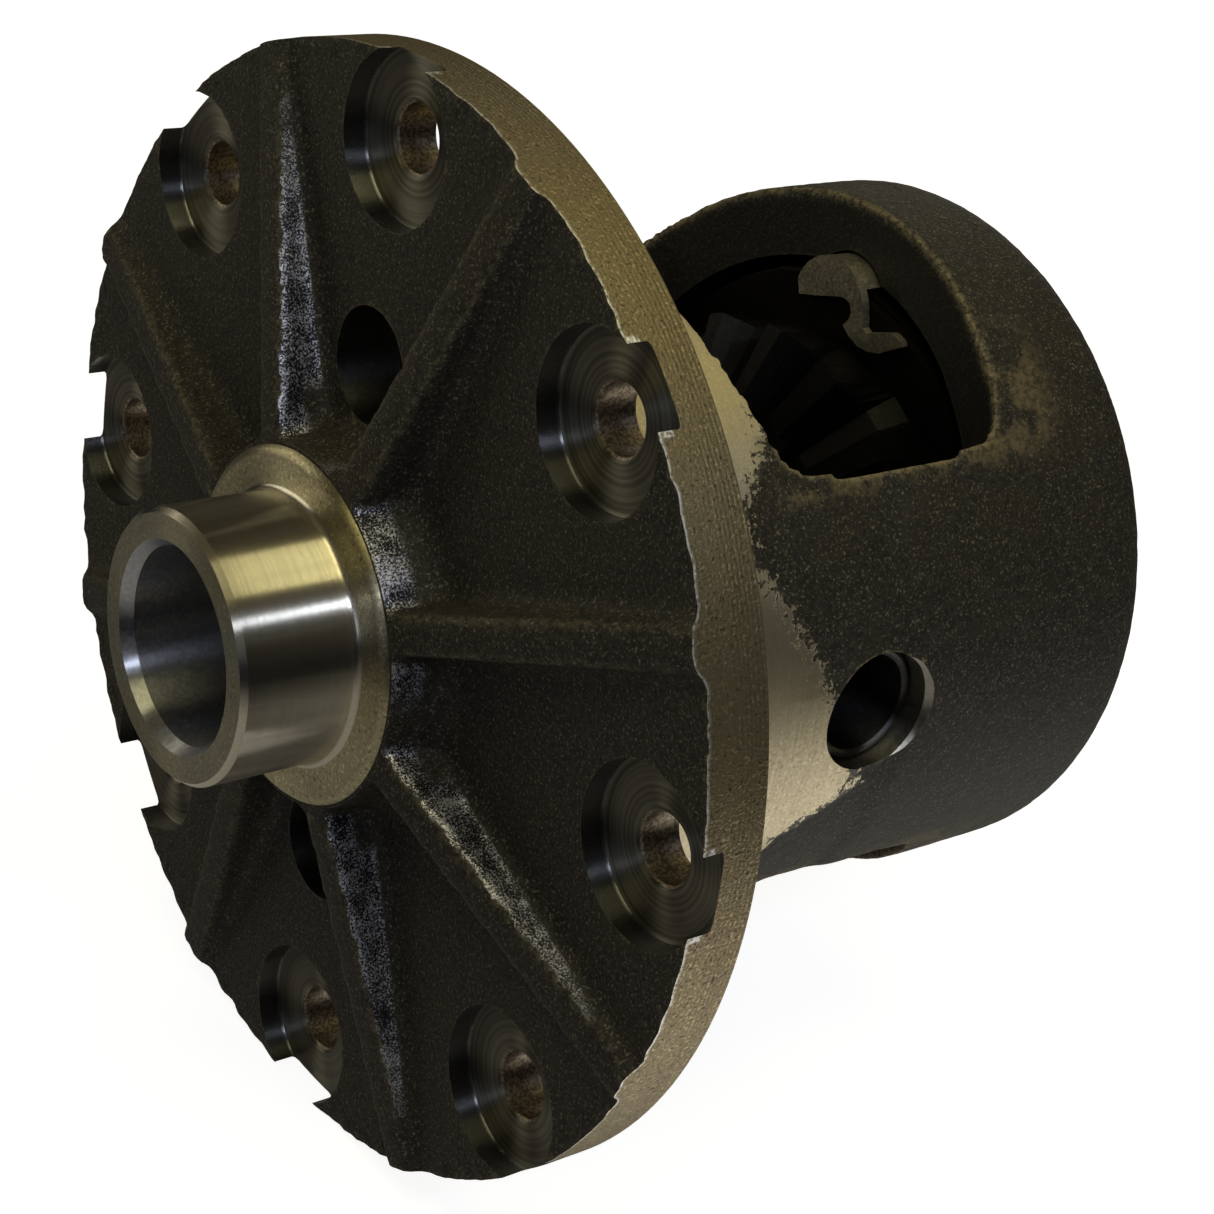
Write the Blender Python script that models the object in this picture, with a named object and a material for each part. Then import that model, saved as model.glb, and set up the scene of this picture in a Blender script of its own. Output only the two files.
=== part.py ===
"""Differential case of the clutch-type limited-slip kind, with its gears, clutch packs and cross-shaft.

X is the axle axis, from the flange hub (-X) to the far hub (+X). Y is the cross-shaft's axis.
The two windows face +Z and -Z. The origin is where the axle axis and the cross-shaft meet.
"""

import math

import bmesh
import bpy
from mathutils import Vector

for old in list(bpy.data.objects):
    bpy.data.objects.remove(old)

MM = 0.001
GAP = 0.3

# Case
FLANGE_R = 86.1
FLANGE_FRONT = -58.1
FLANGE_BACK = -47.5
BARREL_R = 57.9
PILOT_R = 57.4
PILOT_END = -18.0
FAR_END = 58.0
END_CORNER_R = 6.5
JOURNAL_R = 20.64
NEAR_JOURNAL = (-87.3, -68.3)
FAR_JOURNAL = (60.3, 79.3)
BOSS_R = 27.5
BORE_R = 14.9
POCKET_R = 46.5
POCKET_WALL = 47.2
SEAT_SPHERE_R = 48.5
HUB_SEAT_R = 21.1
HUB_SEAT_END = 56.5

# Flange features
BOLTS = 8
BOLT_CIRCLE_R = 74.4
BOLT_HOLE_R = 5.2
SPOTFACE_R = 13.0
SPOTFACE_FLOOR = -54.25
RIB_WIDTH = 6.8
RIB_TOP_HUB = (28.5, -67.35)
RIB_TOP_RIM = (85.8, -59.75)
CLIP_BORE_R = 8.8
CLIP_BORE_CENTRE = 40.5

# Windows
WINDOW_LEFT = -18.9
WINDOW_RIGHT = 36.0
WINDOW_HALF = 45.7

# Cross-shaft and its lock screw
SHAFT_R = 9.4
SHAFT_BORE_R = 9.7
SHAFT_HALF = 54.0
SOCKET_R = 7.9
SOCKET_DEPTH = 11.0
LOCK_Y = 51.0
LOCK_R = 2.4
LOCK_HOLE_R = 2.75
LOCK_HEAD_R = 4.3
LOCK_FLOOR = 53.0
LOCK_TIP = -11.8

# Bevel gears
SIDE_TEETH = 16
PINION_TEETH = 10
CONE_DISTANCE = 43.0
FACE_WIDTH = 13.0
PRESSURE_ANGLE = math.radians(25)
SIDE_CONE = math.atan2(SIDE_TEETH, PINION_TEETH)
PINION_CONE = math.pi / 2 - SIDE_CONE
MODULE = 2 * CONE_DISTANCE * math.sin(SIDE_CONE) / SIDE_TEETH
PINION_ADDENDUM = 0.95 * MODULE
SIDE_ADDENDUM = 0.65 * MODULE
ROOT_CLEARANCE = 0.20 * MODULE
THICKNESS_SHIFT = 0.64
BACKLASH = 0.2
PINION_BACK_R = 46.8
WASHER_R = (47.1, 48.2)
WASHER_EDGE = 19.5

# Side gear hub and clutch pack, as distances from the centre
GEAR_BACK = 32.7
SPLINES = 12
SPLINE_TIP = 24.0
SPLINE_ROOT = 22.4
HUB_R = 20.7
HUB_END = 55.8
AXLE_SPLINES = 16
AXLE_TIP = 13.5
AXLE_ROOT = 14.6
PLATE = 1.6
SPRING_PLATE = 1.9
DISC_R = 44.0
EARED_R = 44.5
EARED_BORE_R = 25.2
EAR_R = 6.6
CLIP_R = (7.0, 8.4)
CLIP_HALF_ANGLE = math.radians(52)


def material(name, colour, metallic, roughness):
    made = bpy.data.materials.new(name)
    made.use_nodes = True
    shader = made.node_tree.nodes["Principled BSDF"]
    shader.inputs["Base Color"].default_value = (*colour, 1)
    shader.inputs["Metallic"].default_value = metallic
    shader.inputs["Roughness"].default_value = roughness
    made.diffuse_color = (*colour, 1)
    return made


def finished(bm, name, paint=None):
    """An object in metres, from a closed mesh in millimetres."""
    bmesh.ops.remove_doubles(bm, verts=bm.verts[:], dist=1e-5)
    bmesh.ops.recalc_face_normals(bm, faces=bm.faces[:])
    bmesh.ops.scale(bm, vec=(MM, MM, MM), verts=bm.verts[:])
    mesh = bpy.data.meshes.new(name)
    bm.to_mesh(mesh)
    bm.free()
    mesh.shade_smooth()
    mesh.set_sharp_from_angle(angle=math.radians(28))
    made = bpy.data.objects.new(name, mesh)
    bpy.context.scene.collection.objects.link(made)
    if paint:
        mesh.materials.append(paint)
    return made


def at(axis, along, radius, angle):
    """A point at this distance along the axis. On X the angle runs from +Z, and on Y from +X."""
    if axis == "X":
        return Vector((along, -radius * math.sin(angle), radius * math.cos(angle)))
    return Vector((radius * math.cos(angle), along, radius * math.sin(angle)))


def circle(bm, axis, along, radius, count, phase=0.0):
    turn = 2 * math.pi / count
    return [bm.verts.new(at(axis, along, radius, phase + turn * k)) for k in range(count)]


def strip(bm, first, second):
    """The band of faces between two rings of as many points, or between a ring and one point."""
    longer = max(len(first), len(second))
    for k in range(longer):
        n = (k + 1) % longer
        corners = [first[k % len(first)], first[n % len(first)]]
        corners += [second[n % len(second)], second[k % len(second)]]
        bm.faces.new(list(dict.fromkeys(corners)))


def flat_ring(bm, outer, inner):
    """Flat faces between two rings in one plane, which may hold different numbers of points."""
    edges = []
    for loop in (outer, inner):
        for k, vertex in enumerate(loop):
            pair = (vertex, loop[(k + 1) % len(loop)])
            edges.append(bm.edges.get(pair) or bm.edges.new(pair))
    bmesh.ops.triangle_fill(bm, use_beauty=True, use_dissolve=False, edges=edges)


def lathe(bm, axis, profile, count, closed=False, phase=0.0):
    """A solid turned about the axis from (along, radius) points."""
    rings = []
    for along, radius in profile:
        if radius < 1e-6:
            rings.append([bm.verts.new(at(axis, along, 0, 0))])
        else:
            rings.append(circle(bm, axis, along, radius, count, phase))
    for first, second in zip(rings, rings[1:]):
        strip(bm, first, second)
    if closed:
        strip(bm, rings[-1], rings[0])
    return rings


def helper(bm, name):
    made = finished(bm, name)
    made.hide_render = True
    made.display_type = "WIRE"
    return made


def boolean(target, operation, other):
    step = target.modifiers.new(operation.lower() + "_" + other.name, "BOOLEAN")
    step.operation = operation
    step.solver = "EXACT"
    step.object = other


def prism(bm, outline, low, high):
    """A closed prism between two heights, from an outline of points made by a function of height."""
    bottom = [bm.verts.new(point) for point in outline(low)]
    top = [bm.verts.new(point) for point in outline(high)]
    bm.faces.new(bottom)
    bm.faces.new(top)
    strip(bm, bottom, top)


def drill(bm, axis, centre, profile, count):
    """Turned cutter about a line parallel to the axis, through centre."""
    rings = lathe(bm, axis, profile, count)
    moved = [vertex for ring in rings for vertex in ring]
    bmesh.ops.translate(bm, vec=Vector(centre), verts=moved)


# Materials
cast_iron = material("cast_iron", (0.035, 0.032, 0.026), 0.6, 0.62)
forged = material("forged_steel", (0.03, 0.03, 0.03), 0.8, 0.42)
ground = material("ground_steel", (0.16, 0.155, 0.14), 1.0, 0.28)
plate_steel = material("plate_steel", (0.10, 0.095, 0.085), 0.9, 0.45)
friction = material("friction_facing", (0.045, 0.038, 0.03), 0.3, 0.7)
spring_steel = material("spring_steel", (0.20, 0.185, 0.15), 0.9, 0.35)

# Case
outside = [
    (NEAR_JOURNAL[0], BORE_R + 1.1),
    (NEAR_JOURNAL[0], JOURNAL_R - 0.7),
    (NEAR_JOURNAL[0] + 1.1, JOURNAL_R),
    (NEAR_JOURNAL[1], JOURNAL_R),
    (NEAR_JOURNAL[1], BOSS_R),
    (FLANGE_FRONT - 4.0, BOSS_R + 1.0),
    (FLANGE_FRONT, BOSS_R + 5.0),
    (FLANGE_FRONT, FLANGE_R),
    (FLANGE_BACK, FLANGE_R),
    (FLANGE_BACK, PILOT_R),
    (PILOT_END, PILOT_R),
    (PILOT_END + 4, BARREL_R),
]
for step in range(4):
    turn = math.radians(90 - 30 * step)
    along = FAR_END - END_CORNER_R + END_CORNER_R * math.cos(turn)
    outside.append((along, BARREL_R - END_CORNER_R + END_CORNER_R * math.sin(turn)))
outside += [
    (FAR_END, BOSS_R + 2.0),
    (FAR_JOURNAL[0], BOSS_R),
    (FAR_JOURNAL[0], JOURNAL_R),
    (FAR_JOURNAL[1] - 1.1, JOURNAL_R),
    (FAR_JOURNAL[1], JOURNAL_R - 0.7),
    (FAR_JOURNAL[1], BORE_R + 1.1),
    (FAR_JOURNAL[1] - 1.9, BORE_R),
    (HUB_SEAT_END, BORE_R),
    (HUB_SEAT_END, HUB_SEAT_R),
    (POCKET_WALL, HUB_SEAT_R),
    (POCKET_WALL, POCKET_R),
    (13.8, POCKET_R),
    (7.0, math.sqrt(SEAT_SPHERE_R**2 - 49)),
    (0.0, SEAT_SPHERE_R),
    (-7.0, math.sqrt(SEAT_SPHERE_R**2 - 49)),
    (-13.8, POCKET_R),
    (-POCKET_WALL, POCKET_R),
    (-POCKET_WALL, HUB_SEAT_R),
    (-HUB_SEAT_END, HUB_SEAT_R),
    (-HUB_SEAT_END, BORE_R),
    (NEAR_JOURNAL[0] + 1.9, BORE_R),
]
bm = bmesh.new()
lathe(bm, "X", outside, 48, closed=True)
case = finished(bm, "case", cast_iron)

# Ribs: eight bars whose tops run down from the hub to the rim, halfway between the bolt holes.
bm = bmesh.new()
for k in range(BOLTS):
    turn = 2 * math.pi * (k + 0.5) / BOLTS
    outward = at("X", 0, 1, turn)
    sideways = at("X", 0, 1, turn + math.pi / 2) * RIB_WIDTH / 2
    corners = []
    for side in (1, -1):
        for radius, along in (
            (23.5, -67.9),
            RIB_TOP_HUB,
            RIB_TOP_RIM,
            (RIB_TOP_RIM[0], FLANGE_FRONT + 3),
            (23.5, FLANGE_FRONT + 3),
        ):
            corners.append(outward * radius + sideways * side + Vector((along, 0, 0)))
    made = [bm.verts.new(point) for point in corners]
    bm.faces.new(made[:5])
    bm.faces.new(made[5:])
    strip(bm, made[:5], made[5:])
boolean(case, "UNION", helper(bm, "ribs"))

# Bolt holes, each with a spotface that breaks out through the rim.
bm = bmesh.new()
for k in range(BOLTS):
    centre = at("X", 0, BOLT_CIRCLE_R, 2 * math.pi * k / BOLTS)
    stepped = (
        (-75, 0),
        (-75, SPOTFACE_R),
        (SPOTFACE_FLOOR, SPOTFACE_R),
        (SPOTFACE_FLOOR, BOLT_HOLE_R + 0.4),
        (SPOTFACE_FLOOR + 0.4, BOLT_HOLE_R),
        (-40, BOLT_HOLE_R),
        (-40, 0),
    )
    drill(bm, "X", centre, stepped, 20)
boolean(case, "DIFFERENCE", helper(bm, "bolt_holes"))

# Windows: one opening through both sides of the barrel.
window = [
    (WINDOW_LEFT, 0),
    (WINDOW_LEFT, 37.0),
    (WINDOW_LEFT + 1.5, 40.8),
    (WINDOW_LEFT + 4.5, 43.9),
    (WINDOW_LEFT + 9.0, WINDOW_HALF),
    (21.0, WINDOW_HALF),
    (25.2, 44.8),
    (28.2, 42.6),
    (30.0, 39.2),
    (31.2, 33.5),
    (33.6, 24.0),
    (35.4, 12.0),
    (WINDOW_RIGHT, 0),
]
window += [(x, -y) for x, y in reversed(window[1:-1])]
bm = bmesh.new()
prism(bm, lambda z: [Vector((x, y, z)) for x, y in window], -70, 70)
boolean(case, "DIFFERENCE", helper(bm, "windows"))

# Bores for the ear clips, drilled through the flange web and on into the far pocket.
bm = bmesh.new()
for side in (1, -1):
    centre = (0, 0, side * CLIP_BORE_CENTRE)
    bored = ((-75, 0), (-75, CLIP_BORE_R), (POCKET_WALL + 0.6, CLIP_BORE_R), (POCKET_WALL + 0.6, 0))
    drill(bm, "X", centre, bored, 20)
boolean(case, "DIFFERENCE", helper(bm, "clip_bores"))

# Cross-shaft bore, chamfered outside.
bm = bmesh.new()
chamfered = (
    (-70, 0),
    (-70, SHAFT_BORE_R + 12.6),
    (-56.9, SHAFT_BORE_R),
    (56.9, SHAFT_BORE_R),
    (70, SHAFT_BORE_R + 12.6),
    (70, 0),
)
lathe(bm, "Y", chamfered, 24)
boolean(case, "DIFFERENCE", helper(bm, "shaft_bore"))

# Lock screw hole, from the far end.
bm = bmesh.new()
screwed = (
    (70, 0),
    (70, LOCK_HEAD_R + 0.7),
    (LOCK_FLOOR, LOCK_HEAD_R + 0.7),
    (LOCK_FLOOR, LOCK_HOLE_R),
    (LOCK_TIP - 1.2, LOCK_HOLE_R),
    (LOCK_TIP - 1.2, 0),
)
drill(bm, "X", (0, LOCK_Y, 0), screwed, 12)
boolean(case, "DIFFERENCE", helper(bm, "lock_hole"))

# Cross-shaft, drilled out at its front end
bm = bmesh.new()
rod = (
    (-SHAFT_HALF + SOCKET_DEPTH, 0),
    (-SHAFT_HALF + SOCKET_DEPTH, SOCKET_R),
    (-SHAFT_HALF, SOCKET_R),
    (-SHAFT_HALF, SHAFT_R - 0.6),
    (-SHAFT_HALF + 0.6, SHAFT_R),
    (SHAFT_HALF - 1.2, SHAFT_R),
    (SHAFT_HALF, SHAFT_R - 1.2),
    (SHAFT_HALF, 0),
)
lathe(bm, "Y", rod, 24)
cross_shaft = finished(bm, "cross_shaft", ground)
bm = bmesh.new()
drill(bm, "X", (0, LOCK_Y, 0), ((-20, 0), (-20, LOCK_HOLE_R), (20, LOCK_HOLE_R), (20, 0)), 12)
boolean(cross_shaft, "DIFFERENCE", helper(bm, "shaft_cross_hole"))

# Lock screw, with a hexagon socket in its head
bm = bmesh.new()
head = LOCK_FLOOR + GAP
screw = (
    (LOCK_TIP, 0),
    (LOCK_TIP, LOCK_R - 0.6),
    (LOCK_TIP + 0.6, LOCK_R),
    (head, LOCK_R),
    (head, LOCK_HEAD_R),
    (head + 3.2, LOCK_HEAD_R),
    (head + 3.6, LOCK_HEAD_R - 0.4),
)
rings = lathe(bm, "X", screw, 12)
mouth = circle(bm, "X", head + 3.6, 2.3, 6)
floor = circle(bm, "X", head + 1.6, 2.3, 6)
flat_ring(bm, rings[-1], mouth)
strip(bm, mouth, floor)
bm.faces.new(floor)
bmesh.ops.translate(bm, vec=Vector((0, LOCK_Y, 0)), verts=bm.verts[:])
lock_screw = finished(bm, "cross_shaft_lock_screw", ground)


def involute(angle):
    return math.tan(angle) - angle


def tooth_rings(bm, axis, sign, teeth, cone, addendum, dedendum, shift, phase, steps):
    """The heel and toe rings of a straight bevel gear whose cones meet at the origin."""
    back = CONE_DISTANCE * math.tan(cone)
    base = back * math.cos(PRESSURE_ANGLE)
    pitch_half = math.pi * math.cos(cone) / (2 * teeth)
    pitch_half += (shift - BACKLASH) / 2 / back + involute(PRESSURE_ANGLE)

    def half(height):
        radius = back + height
        if radius > base:
            return (pitch_half - involute(math.acos(base / radius))) / math.cos(cone)
        return (pitch_half + (base - radius) * 0.004) / math.cos(cone)

    heights = [-dedendum + (addendum + dedendum) * k / steps for k in range(steps + 1)]
    flank = [(height, half(height)) for height in heights]
    heel, toe = [], []
    for tooth in range(teeth):
        centre = phase + 2 * math.pi * tooth / teeth
        points = [(height, centre - angle) for height, angle in flank]
        points += [(height, centre + angle) for height, angle in reversed(flank)]
        for height, angle in points:
            radius = CONE_DISTANCE * math.sin(cone) + height * math.cos(cone)
            along = CONE_DISTANCE * math.cos(cone) - height * math.sin(cone)
            inner = 1 - FACE_WIDTH / CONE_DISTANCE
            heel.append(bm.verts.new(at(axis, sign * along, radius, angle)))
            toe.append(bm.verts.new(at(axis, sign * along * inner, radius * inner, angle)))
    strip(bm, heel, toe)
    return heel, toe


def same_angles(bm, axis, ring, along, radius):
    """A circle with a point beside each point of this ring."""
    made = []
    for vertex in ring:
        point = vertex.co
        if axis == "X":
            angle = math.atan2(-point.y, point.z)
        else:
            angle = math.atan2(point.z, point.x)
        made.append(bm.verts.new(at(axis, along, radius, angle)))
    return made


def spline_ring(bm, along, tip, root, count, sign=1):
    """Straight-sided splines about X: four points to each."""
    made = []
    for k in range(count):
        for radius, part in ((root, -0.30), (tip, -0.22), (tip, 0.22), (root, 0.30)):
            made.append(bm.verts.new(at("X", sign * along, radius, 2 * math.pi * (k + part) / count)))
    return made


def side_gear(name, sign):
    bm = bmesh.new()
    dedendum = PINION_ADDENDUM + ROOT_CLEARANCE
    # A tooth stands at -Y and at +Y, where the pinions have a gap.
    heel, toe = tooth_rings(
        bm, "X", sign, SIDE_TEETH, SIDE_CONE, SIDE_ADDENDUM, dedendum, -THICKNESS_SHIFT, 0, 3
    )
    back = same_angles(bm, "X", heel, sign * GEAR_BACK, 35.5)
    front = same_angles(bm, "X", toe, sign * 17.0, 19.5)
    strip(bm, back, heel)
    strip(bm, toe, front)
    # Splined hub
    start = spline_ring(bm, GEAR_BACK, SPLINE_TIP, SPLINE_ROOT, SPLINES, sign)
    end = spline_ring(bm, POCKET_WALL - 0.4, SPLINE_TIP, SPLINE_ROOT, SPLINES, sign)
    flat_ring(bm, back, start)
    strip(bm, start, end)
    shoulder = circle(bm, "X", sign * (POCKET_WALL - 0.4), HUB_R, 32)
    flat_ring(bm, end, shoulder)
    tail = circle(bm, "X", sign * HUB_END, HUB_R, 32)
    strip(bm, shoulder, tail)
    # Internal splines for the axle shaft
    outer_mouth = spline_ring(bm, HUB_END, AXLE_TIP, AXLE_ROOT, AXLE_SPLINES, sign)
    inner_mouth = spline_ring(bm, 17.0, AXLE_TIP, AXLE_ROOT, AXLE_SPLINES, sign)
    flat_ring(bm, tail, outer_mouth)
    strip(bm, outer_mouth, inner_mouth)
    flat_ring(bm, front, inner_mouth)
    return finished(bm, name, forged)


def pinion_gear(name, sign):
    bm = bmesh.new()
    dedendum = SIDE_ADDENDUM + ROOT_CLEARANCE
    phase = math.pi / PINION_TEETH
    heel, toe = tooth_rings(
        bm, "Y", sign, PINION_TEETH, PINION_CONE, PINION_ADDENDUM, dedendum, THICKNESS_SHIFT, phase, 3
    )
    last = heel
    for radius in (20.8, SHAFT_R + GAP):
        along = math.sqrt(PINION_BACK_R**2 - radius**2)
        ring = same_angles(bm, "Y", heel, sign * along, radius)
        strip(bm, last, ring)
        last = ring
    front = same_angles(bm, "Y", toe, sign * 26.2, SHAFT_R + GAP)
    strip(bm, toe, front)
    strip(bm, front, last)
    return finished(bm, name, forged)


def thrust_washer(name, sign):
    bm = bmesh.new()
    profile = []
    radii = (10.0, 15.0, WASHER_EDGE)
    for radius in radii:
        profile.append((sign * math.sqrt(WASHER_R[1] ** 2 - radius**2), radius))
    for radius in reversed(radii):
        profile.append((sign * math.sqrt(WASHER_R[0] ** 2 - radius**2), radius))
    lathe(bm, "Y", profile, 24, closed=True)
    return finished(bm, name, spring_steel)


def friction_disc(name, along):
    """Its bore carries the splines that ride on the side gear's hub."""
    bm = bmesh.new()
    faces = []
    for offset in (0, PLATE):
        outer = circle(bm, "X", along + offset, DISC_R, 36)
        inner = []
        for k in range(SPLINES):
            for radius, part in (
                (SPLINE_ROOT + GAP, -0.335),
                (SPLINE_TIP + GAP, -0.265),
                (SPLINE_TIP + GAP, 0.265),
                (SPLINE_ROOT + GAP, 0.335),
            ):
                turn = 2 * math.pi * (k + part) / SPLINES
                inner.append(bm.verts.new(at("X", along + offset, radius, turn)))
        flat_ring(bm, outer, inner)
        faces.append((outer, inner))
    strip(bm, faces[0][0], faces[1][0])
    strip(bm, faces[0][1], faces[1][1])
    return finished(bm, name, friction)


def eared_outline():
    """Half-round ears at +Z and -Z on a round plate, as points (y, z)."""
    reach = (CLIP_BORE_CENTRE**2 + EARED_R**2 - EAR_R**2) / (2 * CLIP_BORE_CENTRE * EARED_R)
    meet = math.acos(reach)
    points = []
    for side in (1, -1):
        y, z = EARED_R * math.sin(meet), EARED_R * math.cos(meet)
        ear = math.atan2(y, z - CLIP_BORE_CENTRE)
        for k in range(7):
            turn = ear - 2 * ear * k / 6
            px = EAR_R * math.sin(turn)
            pz = CLIP_BORE_CENTRE + EAR_R * math.cos(turn)
            points.append((side * px, side * pz))
        for k in range(1, 12):
            turn = -meet - (math.pi - 2 * meet) * k / 12
            points.append((side * EARED_R * math.sin(turn), side * EARED_R * math.cos(turn)))
    return points


def eared_plate(name, along):
    bm = bmesh.new()
    faces = []
    for offset in (0, PLATE):
        outer = [bm.verts.new((along + offset, y, z)) for y, z in eared_outline()]
        inner = circle(bm, "X", along + offset, EARED_BORE_R, 28)
        flat_ring(bm, outer, inner)
        faces.append((outer, inner))
    strip(bm, faces[0][0], faces[1][0])
    strip(bm, faces[0][1], faces[1][1])
    return finished(bm, name, plate_steel)


def spring_plate(name, sign):
    """A dished ring that presses the pack together."""
    near = GEAR_BACK + 6 * PLATE + 7 * GAP
    dish = SPRING_PLATE - 1.1
    profile = (
        (sign * near, 43.5),
        (sign * (near + 1.1), 43.5),
        (sign * (near + 1.1 + dish), 27.0),
        (sign * (near + dish), 27.0),
    )
    bm = bmesh.new()
    lathe(bm, "X", profile, 36, closed=True)
    return finished(bm, name, spring_steel)


def ear_clip(name, sign, side):
    """A curved liner between the clip bore and the ears of the plates."""
    bm = bmesh.new()
    ends = []
    for along in (GEAR_BACK + GAP, POCKET_WALL - GAP):
        outline = []
        for radius, step in ((CLIP_R[1], 1), (CLIP_R[0], -1)):
            for k in range(9):
                turn = step * (-CLIP_HALF_ANGLE + CLIP_HALF_ANGLE * k / 4)
                z = CLIP_BORE_CENTRE + radius * math.cos(turn)
                outline.append(bm.verts.new((sign * along, side * radius * math.sin(turn), side * z)))
        ends.append(outline)
    for outline in ends:
        for k in range(8):
            bm.faces.new((outline[k], outline[k + 1], outline[16 - k], outline[17 - k]))
    strip(bm, ends[0], ends[1])
    return finished(bm, name, spring_steel)


for where, sign in (("left", -1), ("right", 1)):
    side_gear("side_gear_" + where, sign)
    for k in range(3):
        disc = GEAR_BACK + GAP + 2 * k * (PLATE + GAP)
        plate = disc + PLATE + GAP
        low_disc = disc if sign > 0 else -disc - PLATE
        low_plate = plate if sign > 0 else -plate - PLATE
        friction_disc("friction_disc_%s_%d" % (where, k + 1), low_disc)
        eared_plate("eared_plate_%s_%d" % (where, k + 1), low_plate)
    spring_plate("spring_plate_" + where, sign)
    ear_clip("ear_clip_%s_upper" % where, sign, 1)
    ear_clip("ear_clip_%s_lower" % where, sign, -1)

for where, sign in (("front", -1), ("rear", 1)):
    pinion_gear("pinion_gear_" + where, sign)
    thrust_washer("thrust_washer_" + where, sign)
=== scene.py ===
"""Looks for the differential case and its gears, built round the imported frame.

X is the axle axis, Y the cross-shaft's axis, and the windows face +Z and -Z. Lengths in the
shape code are in millimetres and become metres when a mesh is made.
"""

import math

import bmesh
import bpy
import numpy as np
from mathutils import Matrix, Vector, noise


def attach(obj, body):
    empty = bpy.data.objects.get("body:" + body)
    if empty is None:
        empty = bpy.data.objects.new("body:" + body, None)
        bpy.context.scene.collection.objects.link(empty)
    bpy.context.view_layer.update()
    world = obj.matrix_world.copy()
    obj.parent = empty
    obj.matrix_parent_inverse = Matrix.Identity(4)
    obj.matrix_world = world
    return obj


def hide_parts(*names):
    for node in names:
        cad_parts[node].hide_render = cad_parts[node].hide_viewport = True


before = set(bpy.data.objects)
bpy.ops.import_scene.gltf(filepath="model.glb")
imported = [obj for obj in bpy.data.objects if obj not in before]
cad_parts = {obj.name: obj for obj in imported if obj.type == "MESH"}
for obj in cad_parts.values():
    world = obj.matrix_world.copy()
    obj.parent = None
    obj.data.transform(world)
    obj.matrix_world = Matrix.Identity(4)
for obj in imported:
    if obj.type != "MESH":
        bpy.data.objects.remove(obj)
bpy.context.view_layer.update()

MM = 0.001
FLANGE_FRONT, FLANGE_BACK, FLANGE_R = -58.1, -47.5, 86.1
BARREL_R, PILOT_R, FAR_END = 57.9, 57.4, 58.0
JOURNAL_NEAR, JOURNAL_FAR, JOURNAL_R, JOURNAL_CHAMFER = -87.3, 79.3, 20.64, 0.75
BORE_R, BORE_MOUTH_R = 14.9, 16.1
POCKET_END, POCKET_R = 47.2, 46.5
HUB_END, HUB_SEAT_R = 56.5, 21.1
PINION_SEAT_R, PINION_SEAT_REACH = 48.5, 13.8
BOLTS, BOLT_CIRCLE, BOLT_HOLE_R = 8, 74.4, 5.05
SPOTFACE_R, SPOTFACE_FLOOR = 13.0, -54.25
SHAFT_R, SHAFT_END, SHAFT_BORE_R = 9.4, 54.0, 9.7
SOCKET_R, SOCKET_DEPTH = 7.9, 11.0
LOCK_Y, LOCK_HOLE_R, LOCK_HEAD_R = 51.0, 2.75, 5.0
CLIP_CENTRE, CLIP_BORE_R, CLIP_BORE_END = 40.5, 8.8, 47.8
CLIP_FRONT, CROWN_BACK, LINER_FRONT, CLIP_BACK = 31.2, 32.7, 32.2, 46.9

# Where the turned band on the barrel ends: (degrees from +Z towards -Y, X)
PILOT_EDGE = (
    (-180, -20), (-120, -24), (-60, -17), (0, -15), (43, -15), (49, -18), (56, -24), (63, -24),
    (69, -19), (74, -16), (79, -13), (86, -9), (95, -3), (103, 0.5), (107, -6), (111, -13),
    (125, -19), (150, -23), (180, -20),
)
PILOT_METAL = (0.66, 0.58, 0.42)


# ---------------------------------------------------------------- shader nodes


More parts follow.
